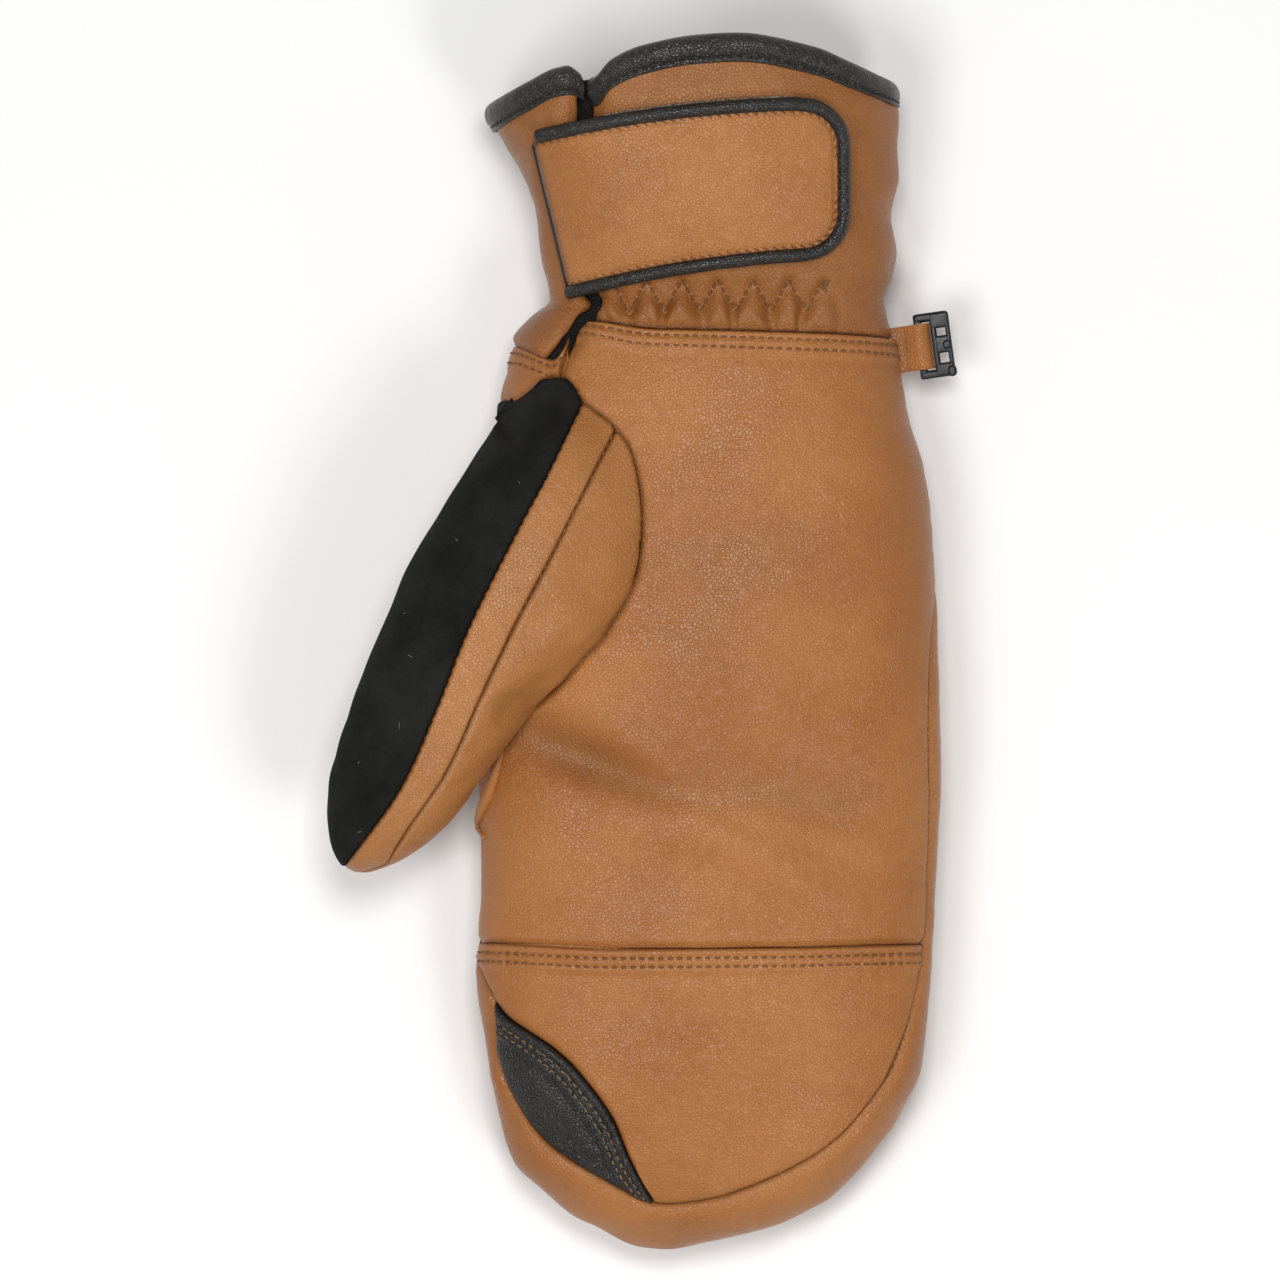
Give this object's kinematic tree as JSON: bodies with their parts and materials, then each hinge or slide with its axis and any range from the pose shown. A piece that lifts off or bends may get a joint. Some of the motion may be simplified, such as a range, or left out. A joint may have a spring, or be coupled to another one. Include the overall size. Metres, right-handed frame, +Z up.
{
  "type": "leather mitten",
  "caption": "Padded leather mitten for the right hand, palm up, with a bound cuff, a piped wrist strap, gathers at the wrist, a fingertip patch and a pairing clip.",
  "frame": {"origin": "on the flat underside, on the hand's centre line, halfway along the mitten", "axes": "+Z up out of the palm, +Y from the fingertips to the cuff, +X towards the little finger side"},
  "size_m": [0.1582, 0.3045, 0.0619],
  "materials": {
    "tan_leather": "smooth fine-grained, semi-matt",
    "black_leather": "smooth, soft sheen",
    "black_suede": "napped, matt",
    "black_plastic": "moulded, satin"
  },
  "bodies": {
    "root": {"back_panel": "tan_leather", "palm_panel": "tan_leather", "finger_panel": "tan_leather", "index_patch": "black_leather", "cuff_palm_panel": "tan_leather", "cuff_back_panel": "tan_leather", "vent_gusset": "black_leather", "cuff_binding": "black_leather", "wrist_strap": "tan_leather", "strap_piping": "black_leather", "thumb_palm_panel": "tan_leather", "thumb_side_strip": "tan_leather", "thumb_patch": "black_suede", "clip_loop": "tan_leather", "pair_clip": "black_plastic"}
  },
  "joints": []
}
